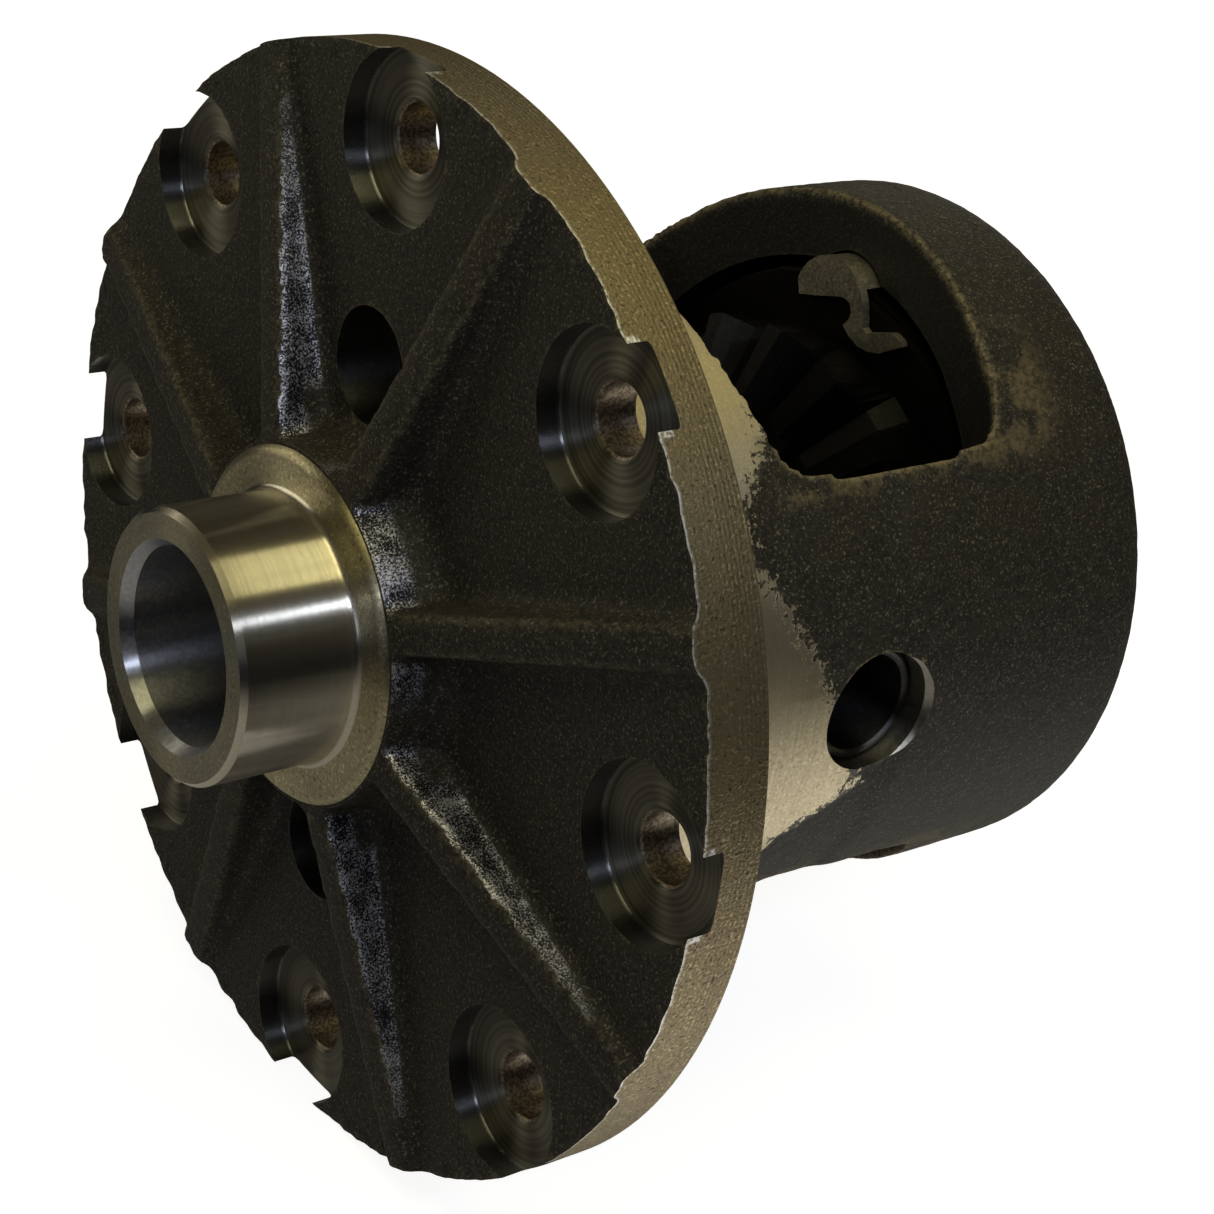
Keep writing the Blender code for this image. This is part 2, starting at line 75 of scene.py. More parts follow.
class Graph:
    """A material's node tree, with short calls for the nodes used here."""

    def __init__(self, name):
        self.material = bpy.data.materials.new(name)
        self.material.use_nodes = True
        self.tree = self.material.node_tree
        self.shader = self.tree.nodes["Principled BSDF"]
        coordinates = self.tree.nodes.new("ShaderNodeTexCoord")
        self.point = self.vector("SCALE", coordinates.outputs["Object"], scale=1000)
        self.x, self.y, self.z = self.split(self.point)
        self.radius = self.math("SQRT", self.squares(self.y, self.z))

    def feed(self, socket, value):
        """Links a socket to another one, or sets it to a plain value."""
        if isinstance(value, bpy.types.NodeSocket):
            self.tree.links.new(value, socket)
        else:
            socket.default_value = value

    def math(self, operation, *values):
        node = self.tree.nodes.new("ShaderNodeMath")
        node.operation = operation
        for socket, value in zip(node.inputs, values):
            self.feed(socket, value)
        return node.outputs[0]

    def vector(self, operation, *values, scale=None):
        node = self.tree.nodes.new("ShaderNodeVectorMath")
        node.operation = operation
        for socket, value in zip(node.inputs, values):
            self.feed(socket, value)
        if scale is not None:
            self.feed(node.inputs["Scale"], scale)
        return node.outputs["Value" if operation == "DOT_PRODUCT" else 0]

    def split(self, value):
        node = self.tree.nodes.new("ShaderNodeSeparateXYZ")
        self.feed(node.inputs[0], value)
        return node.outputs[0], node.outputs[1], node.outputs[2]

    def join(self, x, y, z):
        node = self.tree.nodes.new("ShaderNodeCombineXYZ")
        for socket, value in zip(node.inputs, (x, y, z)):
            self.feed(socket, value)
        return node.outputs[0]

    def squares(self, a, b):
        return self.math("ADD", self.math("MULTIPLY", a, a), self.math("MULTIPLY", b, b))

    def product(self, *values):
        total = values[0]
        for value in values[1:]:
            total = self.math("MULTIPLY", total, value)
        return total

    def sum(self, *terms):
        """Adds (value, weight) pairs."""
        total = 0.0
        for value, weight in terms:
            total = self.math("MULTIPLY_ADD", value, weight, total)
        return total

    def turn(self):
        """The angle about X, from +Z towards -Y."""
        return self.math("ARCTAN2", self.math("MULTIPLY", self.y, -1.0), self.z)

    def rings_about(self, axis, spoke):
        """Brushes the surface round an axis, given each point's direction from it."""
        tangent = self.vector("NORMALIZE", self.vector("CROSS_PRODUCT", axis, spoke))
        self.feed(self.shader.inputs["Tangent"], tangent)
        self.set(anisotropic_rotation=0.25)

    def noise(self, size, detail=2.0, rough=0.5, point=None):
        """Noise from about 0 to 1, whose blobs are about size millimetres across."""
        node = self.tree.nodes.new("ShaderNodeTexNoise")
        self.feed(node.inputs["Vector"], point or self.point)
        node.inputs["Scale"].default_value = 1 / size
        node.inputs["Detail"].default_value = detail
        node.inputs["Roughness"].default_value = rough
        return node.outputs[0]

    def curve(self, value, points):
        """The height, from 0 to 1, of the straight runs between (place, height) points."""
        node = self.tree.nodes.new("ShaderNodeFloatCurve")
        self.feed(node.inputs["Value"], value)
        line = node.mapping.curves[0]
        line.points[0].location, line.points[1].location = points[0], points[-1]
        for point in points[1:-1]:
            line.points.new(*point)
        for point in line.points:
            point.handle_type = "VECTOR"
        node.mapping.update()
        return node.outputs[0]

    def cast_share(self):
        """On the barrel, 0 on turned metal and 1 on the cast skin, with a broken line between."""
        place = self.math("MULTIPLY_ADD", self.turn(), 0.5 / math.pi, 0.5)
        low, high = (pick(limit for mark, limit in PILOT_EDGE) for pick in (min, max))
        points = [(mark / 360 + 0.5, (limit - low) / (high - low)) for mark, limit in PILOT_EDGE]
        limit = self.math("MULTIPLY_ADD", self.curve(place, points), high - low, low)
        past = self.math("SUBTRACT", self.x, limit)
        broken = self.sum((past, 1.0), (self.noise(1.1, 3, 0.7), 16.0), (self.noise(5, 1), 4.0))
        return self.between(broken, 8.3, 9.3)

    def between(self, value, low, high, start=0.0, end=1.0):
        """start below low, end above high, and a smooth step between them."""
        node = self.tree.nodes.new("ShaderNodeMapRange")
        node.interpolation_type = "SMOOTHSTEP"
        for name, number in (
            ("Value", value), ("From Min", low), ("From Max", high), ("To Min", start), ("To Max", end)
        ):
            self.feed(node.inputs[name], number)
        return node.outputs[0]

    def within(self, value, low, full, still_full, high):
        """0 outside low and high, and 1 from full to still_full."""
        return self.product(self.between(value, low, full), self.between(value, high, still_full))

    def mix(self, share, first, second):
        """The first colour where share is 0, and the second where it is 1."""
        node = self.tree.nodes.new("ShaderNodeMix")
        node.data_type = "RGBA"
        colours = [c if isinstance(c, bpy.types.NodeSocket) else (*c, 1) for c in (first, second)]
        self.feed(node.inputs["Factor"], share)
        self.feed(node.inputs[6], colours[0])
        self.feed(node.inputs[7], colours[1])
        return node.outputs[2]

    def bump(self, height):
        """A normal for relief whose height is in millimetres."""
        node = self.tree.nodes.new("ShaderNodeBump")
        node.inputs["Distance"].default_value = MM
        self.feed(node.inputs["Height"], height)
        return node.outputs[0]

    def set(self, **values):
        """Feeds the shader's sockets by name, such as base_color."""
        for name, value in values.items():
            socket = self.shader.inputs[name.replace("_", " ").title().replace("Ior", "IOR")]
            if isinstance(value, tuple):
                value = (*value, 1)
            self.feed(socket, value)


def shades(colour, *factors):
    """The colour made darker or lighter by each factor."""
    return [tuple(min(1, factor * c) for c in colour) for factor in factors]


def window_edge_highlight_patches(g, outside, grit):
    """Brown patches on the barrel, beside the windows' far corners and along their sides: a painted
    golden highlight where those edges catch the warm light.
    """
    side = g.math("ABSOLUTE", g.y)
    patch = g.between(g.noise(6, 4, 0.65), 0.42, 0.54)
    beside = g.product(g.within(g.x, 26, 31, 36, 45), g.within(side, 28, 38, 44, 49))
    below = g.product(g.within(g.x, -20, -14, 30, 38), g.within(side, 44.6, 45.6, 46.5, 48.5))
    gritty = g.between(grit, 0.35, 0.6, 0.35, 1.0)
    return g.product(patch, outside, g.math("MAXIMUM", beside, below), gritty)


def bare_sides_with_painted_glints(g, normal):
    """The steep sides of the ribs and boss that face -Y and +Z, towards the cool strip light: bare
    metal, with painted glints.
    """
    steep = g.between(g.math("ABSOLUTE", normal[0]), 0.65, 0.40)
    lower_half = g.math("DIVIDE", g.sum((g.y, 1.0), (g.z, -0.66)), g.radius)
    # Facing the cool strip light, whose glints are painted on these sides.
    facing = g.sum((normal[1], -0.766), (normal[2], 0.643))
    by_hub = g.product(g.between(g.radius, 37, 34), g.between(g.x, -63.5, -61.5))
    return g.product(
        steep,
        g.between(g.x, FLANGE_FRONT + 0.2, FLANGE_FRONT - 0.5),
        g.between(lower_half, 0.50, 0.36),
        g.between(facing, 0.70, 0.90),
        g.between(g.radius, 84, 40, 0.45, 1.0),
        g.math("SUBTRACT", 1.0, by_hub),
    )


def cast_iron():
    """Shot-blasted, oiled casting: dark and finely speckled, with a painted golden highlight on its
    edges and beside the windows, painted shade inside, and bare metal with painted glints on the steep
    sides of the ribs and boss that face the cool strip light."""
    g = Graph("cast_iron_skin")
    grain, grit, wave = g.noise(0.45, 2, 0.6), g.noise(1.0, 2, 0.6), g.noise(8, 3, 0.5)
    geometry = g.tree.nodes.new("ShaderNodeNewGeometry")
    pointed, normal = geometry.outputs["Pointiness"], g.split(geometry.outputs["Normal"])
    outside = g.between(g.radius, 56.4, 57.2)
    # Painted highlight: golden-brown on convex edges, where the window and rib edges catch the warm
    # light.
    edge = g.product(
        g.between(pointed, 0.512, 0.56),
        g.between(grit, 0.38, 0.55, 0.2, 1.0),
        g.between(g.x, -50, -46, 0.35, 0.85),
    )
    # Painted shade: the casting's inner surfaces inside the barrel are made near black.
    inside = g.product(g.between(g.radius, 57.0, 55.6), g.within(g.x, -40, -38, 54, 56.5))

    skin = g.mix(g.between(grit, 0.35, 0.62), (0.013, 0.012, 0.010), (0.031, 0.029, 0.023))
    skin = g.mix(g.between(wave, 0.35, 0.75, 0.0, 0.5), skin, (0.034, 0.027, 0.017))
    skin = g.mix(g.between(grain, 0.57, 0.69, 0.0, 0.8), skin, (0.20, 0.175, 0.12))
    skin = g.mix(g.between(grain, 0.42, 0.34, 0.0, 0.8), skin, (0.006, 0.005, 0.004))
    # Painted highlight: golden-brown patches at the windows' edges.
    skin = g.mix(g.product(window_edge_highlight_patches(g, outside, grit), 0.8), skin, (0.17, 0.135, 0.075))
    # Painted highlight on the edges.
    skin = g.mix(edge, skin, (0.25, 0.205, 0.12))
    # Painted shade inside.
    skin = g.mix(g.product(inside, 0.75), skin, (0.006, 0.0055, 0.005))

    # Painted glints: bright blue-white speckle, brighter at corners, on the steep sides facing the
    # cool strip light, which are also made bare metal.
    bare_and_glint_sides = bare_sides_with_painted_glints(g, normal)
    corner = g.between(pointed, 0.505, 0.54)
    glint = g.sum((g.noise(0.30, 3, 0.7), 1.0), (g.noise(4, 2), 0.35), (corner, 0.04))
    painted_glints = g.mix(g.between(glint, 0.655, 0.80), (0.030, 0.030, 0.038), (0.74, 0.75, 0.86))
    machined = g.product(
        g.math("SUBTRACT", 1.0, g.cast_share()),
        outside,
        g.between(g.x, 12, 8),
        g.between(g.x, -47.6, -47.0),
    )
    shine = g.math("MAXIMUM", bare_and_glint_sides, machined)
    g.set(
        base_color=g.mix(machined, g.mix(bare_and_glint_sides, skin, painted_glints), PILOT_METAL),
        metallic=g.product(shine, 0.9),
        roughness=g.between(shine, 0, 1, 0.66, 0.42),
        specular_ior_level=0.35,
        normal=g.bump(g.sum((grain, 0.07), (grit, 0.12), (wave, 0.06))),
    )
    return g.material


def rim_marks_and_lit_edge(g, shade, height, colour):
    """The rim's tool marks, 0.75 mm apart, and its front edge rubbed bare, with a painted highlight
    along it.
    """
    marks = g.math("SINE", g.product(g.x, 2 * math.pi / 0.75))
    marks = g.product(marks, g.between(g.x, -54.5, -51.5, 0.35, 1.0))
    shade = g.mix(g.between(marks, 0.2, 1.0, 0.0, 0.25), shade, shades(colour, 0.35)[0])
    height = g.sum((height, 1.0), (marks, -0.010))
    rounded = g.tree.nodes.new("ShaderNodeBevel")
    rounded.samples = 6
    g.feed(rounded.inputs["Radius"], 0.9 * MM)
    flat = g.tree.nodes.new("ShaderNodeNewGeometry").outputs["Normal"]
    # Painted highlight: near-white along the rounded front edge, partly bare burr and partly the light
    # it catches.
    edge = g.product(
        g.between(g.vector("DOT_PRODUCT", rounded.outputs[0], flat), 0.999, 0.97),
        g.between(g.x, -55.6, -56.0),
        g.between(g.noise(0.7, 2), 0.38, 0.50, 0.2, 1.0),
    )
    return g.mix(edge, shade, (0.95, 0.95, 0.96)), height


def turned(
    name, colour, roughness, pitch, depth, grain, anisotropy, speckle, worn_and_lit_edge=False, cast_edge=False
):
    """Steel turned about X, with rings pitch millimetres apart and as deep as depth.

    Grain is the depth of its pits, and speckle is how much lighter and darker specks show."""
    g = Graph(name)
    along = g.join(g.math("DIVIDE", g.x, pitch), g.math("DIVIDE", g.radius, pitch), 0.0)
    rings = g.noise(1.0, 2, 0.6, point=along)
    spread = g.join(g.product(g.x, 2.5), g.product(g.radius, 2.5), g.noise(9, 1))
    bands = g.noise(1.0, 1, 0.5, point=spread)
    pits = g.noise(0.5, 2, 0.6)
    dull, dark, light = shades(colour, 0.90, 0.3, 1.7)
    shade = g.mix(g.between(bands, 0.3, 0.7), dull, colour)
    shade = g.mix(g.between(pits, 0.60, 0.70, 0, speckle), shade, dark)
    shade = g.mix(g.between(pits, 0.42, 0.34, 0, speckle), shade, light)
    height = g.sum((rings, depth), (pits, grain))
    metal = 1.0
    if worn_and_lit_edge:
        shade, height = rim_marks_and_lit_edge(g, shade, height, colour)
    if cast_edge:
        cast = g.cast_share()
        skin = g.mix(g.between(pits, 0.45, 0.65), (0.022, 0.020, 0.016), (0.10, 0.09, 0.065))
        shade = g.mix(cast, shade, skin)
        metal = g.between(cast, 0, 1, 1.0, 0.0)
        height = g.sum((height, 1.0), (cast, 0.05), (g.product(cast, pits), 0.12))
    g.set(
        base_color=shade,
        metallic=metal,
        roughness=g.between(pits, 0.3, 0.75, roughness * 0.92, roughness * 1.12),
        anisotropic=anisotropy,
        normal=g.bump(height),
    )
    g.rings_about((1.0, 0.0, 0.0), g.point)
    return g.material


def spotface_steel():
    """Iron cut by a counterbore at each bolt hole, so the rings run round the nearest hole."""
    g = Graph("spotface")
    sector = 2 * math.pi / BOLTS
    nearest = g.product(g.math("ROUND", g.math("DIVIDE", g.turn(), sector)), sector)
    from_hole_y = g.math("MULTIPLY_ADD", g.math("SINE", nearest), BOLT_CIRCLE, g.y)
    from_hole_z = g.math("MULTIPLY_ADD", g.math("COSINE", nearest), -BOLT_CIRCLE, g.z)
    from_hole = g.math("SQRT", g.squares(from_hole_y, from_hole_z))
    rings = g.noise(0.22, 1, 0.5, point=g.join(g.x, from_hole, 0.0))
    bands = g.noise(0.5, 1, 0.5, point=g.join(g.x, from_hole, g.product(nearest, 9.0)))
    pits = g.noise(0.5, 2, 0.6)
    wall = g.between(from_hole, SPOTFACE_R - 0.3, SPOTFACE_R - 0.1)
    hole = g.between(from_hole, BOLT_HOLE_R + 0.45, BOLT_HOLE_R + 0.25)
    # Painted reflection: brown in the bolt holes stands in for their lit walls and the pilot seen
    # through them.
    hole_reflection = g.mix(g.between(pits, 0.4, 0.6), (0.14, 0.11, 0.085), (0.34, 0.285, 0.215))
    shade = g.mix(g.between(bands, 0.3, 0.7), (0.105, 0.10, 0.082), (0.19, 0.182, 0.152))
    shade = g.mix(wall, shade, (0.20, 0.205, 0.215))
    shade = g.mix(hole, shade, hole_reflection)
    g.set(
        base_color=shade,
        metallic=1.0,
        roughness=g.between(g.sum((wall, -0.5), (hole, 0.2), (pits, 0.3)), -0.4, 0.2, 0.26, 0.46),
        anisotropic=g.between(hole, 0, 1, 0.93, 0.5),
        normal=g.bump(g.sum((rings, 0.002), (pits, 0.002))),
    )
    g.rings_about((1.0, 0.0, 0.0), g.join(0.0, from_hole_y, from_hole_z))
    return g.material


def bored(name, axis, colour, roughness, anisotropy=0.7, grain=0.003):
    """A drilled or ground surface with rings about the X or Y axis."""
    g = Graph(name)
    along = g.x if axis == "X" else g.y
    rings = g.noise(0.4, 2, 0.6, point=g.join(along, 0.0, 0.0))
    pits = g.noise(0.7, 2, 0.6)
    g.set(
        base_color=g.mix(g.between(pits, 0.35, 0.7), shades(colour, 0.8)[0], colour),
        metallic=1.0,
        roughness=g.between(pits, 0.3, 0.7, roughness * 0.92, roughness * 1.1),
        anisotropic=anisotropy,
        normal=g.bump(g.sum((rings, 0.002), (pits, grain))),
    )
    g.rings_about((1.0, 0.0, 0.0) if axis == "X" else (0.0, 1.0, 0.0), g.point)
    return g.material


def steel(name, colour, roughness, grain):
    """Forged, stamped or sintered steel under a film of oil."""
    g = Graph(name)
    fine, broad = g.noise(0.5, 3, 0.6), g.noise(5, 3, 0.55)
    dark, light = shades(colour, 0.55, 1.6)
    shade = g.mix(g.between(broad, 0.3, 0.7, 0, 0.5), colour, dark)
    shade = g.mix(g.between(fine, 0.58, 0.72, 0, 0.4), shade, light)
    g.set(
        base_color=shade,
        metallic=0.95,
        roughness=g.between(fine, 0.3, 0.7, roughness * 0.8, roughness * 1.2),
        normal=g.bump(g.sum((fine, grain), (broad, 3 * grain))),
    )
    return g.material


CAST = cast_iron()
PILOT = turned(
    "turned_pilot", PILOT_METAL, roughness=0.50, pitch=0.25, depth=0.006, grain=0.006,
    anisotropy=0.5, speckle=0.25, cast_edge=True,
)
JOURNAL = turned(
    "ground_journal", (0.68, 0.64, 0.55), roughness=0.24, pitch=0.12, depth=0.0008, grain=0.0012,
    anisotropy=0.93, speckle=0.14,
)
SHOULDER = turned(
    "turned_shoulder", (0.47, 0.42, 0.28), roughness=0.37, pitch=0.20, depth=0.006, grain=0.04,
    anisotropy=0.92, speckle=0.9,
)
END_FACE = turned(
    "turned_end_face", (0.33, 0.31, 0.235), roughness=0.42, pitch=0.20, depth=0.006, grain=0.02,
    anisotropy=0.8, speckle=0.5,
)
RIM = turned(
    "turned_rim", (0.315, 0.26, 0.16), roughness=0.52, pitch=0.35, depth=0.010, grain=0.12,
    anisotropy=0.3, speckle=1.0, worn_and_lit_edge=True,
)
SPOT = spotface_steel()
BORE = bored("bored_axle_hole", "X", (0.60, 0.61, 0.66), 0.30, anisotropy=0.88, grain=0.0)
PIN_BORE = bored("bored_shaft_hole", "Y", (0.50, 0.48, 0.43), 0.30)
POCKET = bored("bored_pocket", "X", (0.10, 0.095, 0.085), 0.50)
SOCKET = bored("drilled_socket", "Y", (0.085, 0.085, 0.088), 0.34, anisotropy=0.85)
CLIP_BORE = bored("bored_clip_hole", "X", (0.16, 0.16, 0.165), 0.34)
GROUND = bored("ground_shaft", "Y", (0.34, 0.32, 0.28), 0.25)
# Painted shade: the gears, plates and facings inside the case are darker than their own dark finish,
# standing in for the shade there.
FORGED = steel("oiled_forging_in_painted_shade", (0.012, 0.0115, 0.011), 0.5, 0.02)
PLATE = steel("stamped_plate", (0.030, 0.028, 0.024), 0.45, 0.01)
FACING = steel("sintered_facing", (0.010, 0.009, 0.008), 0.70, 0.03)
SPRING = steel("spring_strip", (0.30, 0.27, 0.21), 0.36, 0.008)
CLIP_STEEL = steel("clip_strip", (0.50, 0.46, 0.37), 0.40, 0.008)


# ---------------------------------------------------------------- mesh helpers


def around(along, radius, angle):
    """A point about X, its angle measured from +Z towards -Y."""
    return Vector((along, -radius * math.sin(angle), radius * math.cos(angle)))


def around_y(along, radius, angle):
    return Vector((radius * math.cos(angle), along, radius * math.sin(angle)))


def beside_axle(y, z):
    """Places points about a line through (0, y, z) along X."""
    return lambda along, radius, angle: around(along, radius, angle) + Vector((0, y, z))


def add(bm, name, materials=()):
    """An object in metres, from a mesh in millimetres."""
    bmesh.ops.recalc_face_normals(bm, faces=bm.faces[:])
    bmesh.ops.scale(bm, vec=(MM, MM, MM), verts=bm.verts[:])
    mesh = bpy.data.meshes.new(name)
    bm.to_mesh(mesh)
    bm.free()
    made = bpy.data.objects.new(name, mesh)
    bpy.context.scene.collection.objects.link(made)
    for material in materials:
        mesh.materials.append(material)
    return made


def shape(build, materials=(), name=None):
    """An object made by a function that fills a mesh, and named after it if no name is given."""
    bm = bmesh.new()
    build(bm)
    return add(bm, name or build.__name__, materials)


def ring(bm, place, along, radius, count):
    """A circle of points, or one point where the radius is 0."""
    if radius < 1e-6:
        return [bm.verts.new(place(along, 0, 0))]
    return [bm.verts.new(place(along, radius, 2 * math.pi * k / count)) for k in range(count)]


def band(bm, first, second, index=0):
    """Faces between two closed loops of points."""
    longer = max(len(first), len(second))
    for k in range(longer):
        n = (k + 1) % longer
        corners = [first[k % len(first)], first[n % len(first)]]
        corners += [second[n % len(second)], second[k % len(second)]]
        bm.faces.new(list(dict.fromkeys(corners))).material_index = index


def lathe(bm, profile, count, place=around):
    """Turns (along, radius) or (along, radius, material index) points about an axis.

    The index is that of the band that starts at the point."""
    rings = [ring(bm, place, point[0], point[1], count) for point in profile]
    for first, second, point in zip(rings, rings[1:], profile):
        band(bm, first, second, point[2] if len(point) > 2 else 0)


def drilling(depth, radius, *, start):
    """The profile of a plain drill from start to depth."""
    return (start, 0), (start, radius), (depth, radius), (depth, 0)


def prism(bm, first, second):
    """A closed solid between two flat loops of points."""
    band(bm, first, second)
    bm.faces.new(first)
    bm.faces.new(second)


def apply(made, kind, **settings):
    """Makes one modifier's result the object's mesh."""
    step = made.modifiers.new("step", kind)
    for name, value in settings.items():
        setattr(step, name, value)
    graph = bpy.context.evaluated_depsgraph_get()
    mesh = bpy.data.meshes.new_from_object(
        made.evaluated_get(graph), preserve_all_data_layers=True, depsgraph=graph
    )
    made.modifiers.clear()
    old, made.data = made.data, mesh
    bpy.data.meshes.remove(old)


def carve(made, operation, other):
    """Joins or cuts the object with another, which is used up."""
    settings = {"solver": "MANIFOLD", "material_mode": "TRANSFER"}
    apply(made, "BOOLEAN", operation=operation, object=other, **settings)
    bpy.data.objects.remove(other)


def vectors_of(mesh, attribute):
    flat = np.empty(len(mesh.vertices) * 3)
    mesh.vertices.foreach_get(attribute, flat)
    return flat.reshape(-1, 3)


def smooth(value):
    """A smooth step from 0 to 1."""
    value = np.clip(value, 0, 1)
    return value * value * (3 - 2 * value)


def finish_mesh(made):
    made.data.shade_smooth()
    made.data.set_sharp_from_angle(angle=math.radians(30))


def arc(centre, radius, start, end, steps):
    """Points on an arc of a profile, from angles in degrees: 0 along +X, 90 outwards."""
    turns = [math.radians(start + (end - start) * k / steps) for k in range(steps + 1)]
    return [(centre[0] + radius * math.cos(t), centre[1] + radius * math.sin(t)) for t in turns]


# ---------------------------------------------------------------- case

VOXEL = 0.95
RIB_HALF_WIDTH, RIB_START, RIB_STEP, RIB_ROWS = 3.4, 22, 3, 23


def cast_blank(bm):
    """The casting before machining, a little larger than the turned surfaces."""
    web_fillet, far_corner = 4.5, 6.5
    profile = [(-88.5, 0), (-88.5, 21.8), (-68.9, 21.8), (-68.9, 27.2), (-68.3, 27.7), (-63.2, 28.3)]
    for turn in (0.35, 0.8, 1.2, math.pi / 2):
        profile.append((-62.6 + web_fillet * math.sin(turn), 32.9 - web_fillet * math.cos(turn)))
    profile += [(FLANGE_FRONT, 60), (FLANGE_FRONT, 87.0), (-46.8, 87.0), (-46.8, 58.8)]
    profile += [(-40, BARREL_R)]
    profile += arc((FAR_END - far_corner, BARREL_R - far_corner), far_corner, 90, 0, 6)
    profile += [(FAR_END, 29.5), (61.0, 27.9), (61.0, 21.8), (80.5, 21.8), (80.5, 0)]
    lathe(bm, profile, 160)


def rib_section(radius):
    """(sideways, along) points across a rib at this distance from the axle axis."""
    top = -67.35 + (radius - 28.5) * 7.6 / 57.3
    height = FLANGE_FRONT - top
    foot, edge = min(1.5, 0.5 * height), min(0.5, 0.3 * height)
    draft = 0.045 * height
    side = [(RIB_HALF_WIDTH + foot, FLANGE_FRONT + 3)]
    for turn in np.radians((0, 30, 60, 90)):
        across = RIB_HALF_WIDTH + foot * (1 - math.sin(turn))
        side.append((across, FLANGE_FRONT - foot * (1 - math.cos(turn))))
    for turn in np.radians((0, 45, 90)):
        across = RIB_HALF_WIDTH - draft - edge * (1 - math.cos(turn))
        side.append((across, top + edge * (1 - math.sin(turn))))
    return side + [(-across, along) for across, along in reversed(side)]


def ribs(bm):
    """One rib half-way between each two bolt holes."""
    for k in range(BOLTS):
        turn = 2 * math.pi * (k + 0.5) / BOLTS
        outward, sideways = around(0, 1, turn), around(0, 1, turn + math.pi / 2)
        rows = []
        for radius in (RIB_START + RIB_STEP * n for n in range(RIB_ROWS)):
            rows.append([
                bm.verts.new(outward * radius + sideways * across + Vector((along, 0, 0)))
                for across, along in rib_section(radius)
            ])
        for first, second in zip(rows, rows[1:]):
            band(bm, first, second)
        bm.faces.new(rows[0])
        bm.faces.new(rows[-1])


def windows(bm):
    """Both windows at once: one outline in X and Y, its corners cut twice, through the barrel."""
    half = [(-20.7, 0), (-20.5, 14.0), (-19.8, 25.0), (-18.4, 34.0), (-16.9, 39.8), (-14.2, 43.7)]
    half += [(-9.9, 45.7), (21.0, 45.7), (25.2, 44.8), (28.2, 42.6), (30.0, 39.2), (31.2, 33.5)]
    half += [(33.6, 24.0), (35.4, 12.0), (36.0, 0)]
    outline = half + [(x, -y) for x, y in reversed(half[1:-1])]
    for _ in range(2):
        cut = []
        for (x, y), (nx, ny) in zip(outline, outline[1:] + outline[:1]):
            cut.append((0.8 * x + 0.2 * nx, 0.8 * y + 0.2 * ny))
            cut.append((0.2 * x + 0.8 * nx, 0.2 * y + 0.8 * ny))
        outline = cut
    prism(bm, *([bm.verts.new((x, y, z)) for x, y in outline] for z in (-70, 70)))


def roughen(points, normals):
    """Gives the casting its skin: uneven all over, ragged at the rim and the windows' near edges,
    and proud of the turned band up to its limit."""
    radius = np.hypot(points[:, 1], points[:, 2])
    angle = np.degrees(np.arctan2(-points[:, 1], points[:, 2]))
    rough = np.array([
        0.08 * noise.noise(Vector(p) / 2.0) + 0.06 * noise.noise(Vector(p) / 9 + Vector((7, 3, 1)))
        for p in points
    ])
    points += normals * rough[:, None]

    rim = (radius > 80) & (points[:, 0] < -53)
    for k in np.nonzero(rim)[0]:
        bite = noise.noise(Vector(points[k]) / 2.6 + Vector((0, 5, 9)))
        bite += 0.6 * noise.noise(Vector(points[k]) / 6)
        points[k, 0] += 0.45 * bite * smooth((radius[k] - 81) / 4)
    window_edge = (np.abs(points[:, 2]) > 30) & (radius > 53) & (np.abs(points[:, 0] + 19) < 3)
    for k in np.nonzero(window_edge & (np.abs(points[:, 1]) < 43))[0]:
        points[k, 0] += 0.9 * noise.noise(Vector(points[k]) / 1.9)

    x = points[:, 0]
    barrel = (x > -45) & (x < 12) & (radius > 56.5)
    limit = np.interp(angle, *zip(*PILOT_EDGE))
    grain = np.array([
        0.10 * noise.noise(Vector(p) / 1.6) + 0.06 * noise.noise(Vector(p) / 4) if use else 0.0
        for p, use in zip(points, barrel)
    ])
    push = -0.65 * smooth((8 - x) / 6) + 0.95 * smooth((limit - x) / 3 + 0.25)
    push += grain * smooth((limit + 6 - x) / 5)
    push = np.where(barrel, push * smooth((x + 44) / 4), 0)
    points[:, 1:] *= (1 + push / radius.clip(1))[:, None]


def turned_envelope(bm):
    """What turning may leave of the casting; the cast skin lies inside its cast bands."""
    rim, journal, shoulder, pilot, cast, end_face = range(6)
    profile = [(JOURNAL_NEAR, 0, end_face), (JOURNAL_NEAR, JOURNAL_R - JOURNAL_CHAMFER, journal)]
    profile += [(JOURNAL_NEAR + 0.95, JOURNAL_R, journal), (-69.2, JOURNAL_R, journal)]
    profile += [(-68.85, 20.78, journal), (-68.5, 21.05, journal)]
    profile += [(-68.3, radius, shoulder) for radius in (21.5, 25.75, 25.9)]
    profile += [(-68.1, 26.5, shoulder), (-67.8, 26.95, shoulder), (-67.4, 27.25, cast)]
    profile += [(-67.4, FLANGE_R, rim), (FLANGE_BACK - 0.5, FLANGE_R, rim)]
    profile += [(FLANGE_BACK, FLANGE_R - 0.5, shoulder), (FLANGE_BACK, 58.4, pilot)]
    profile += [(-47.1, 57.9, pilot)] + [(along, PILOT_R, pilot) for along in (-46.6, -30, -20, -10)]
    profile += [(2.5, PILOT_R, cast), (2.7, 60.0, cast), (59.2, 60.0, cast), (59.2, 28.6, shoulder)]
    profile += [(60.3, 27.2, shoulder), (60.3, 21.5, journal), (60.5, 21.05, journal)]
    profile += [(60.85, 20.78, journal), (61.2, JOURNAL_R, journal)]
    profile += [(JOURNAL_FAR - 1, JOURNAL_R, journal)]
    profile += [(JOURNAL_FAR, JOURNAL_R - JOURNAL_CHAMFER, end_face), (JOURNAL_FAR, 0, end_face)]
    lathe(bm, profile, 192)


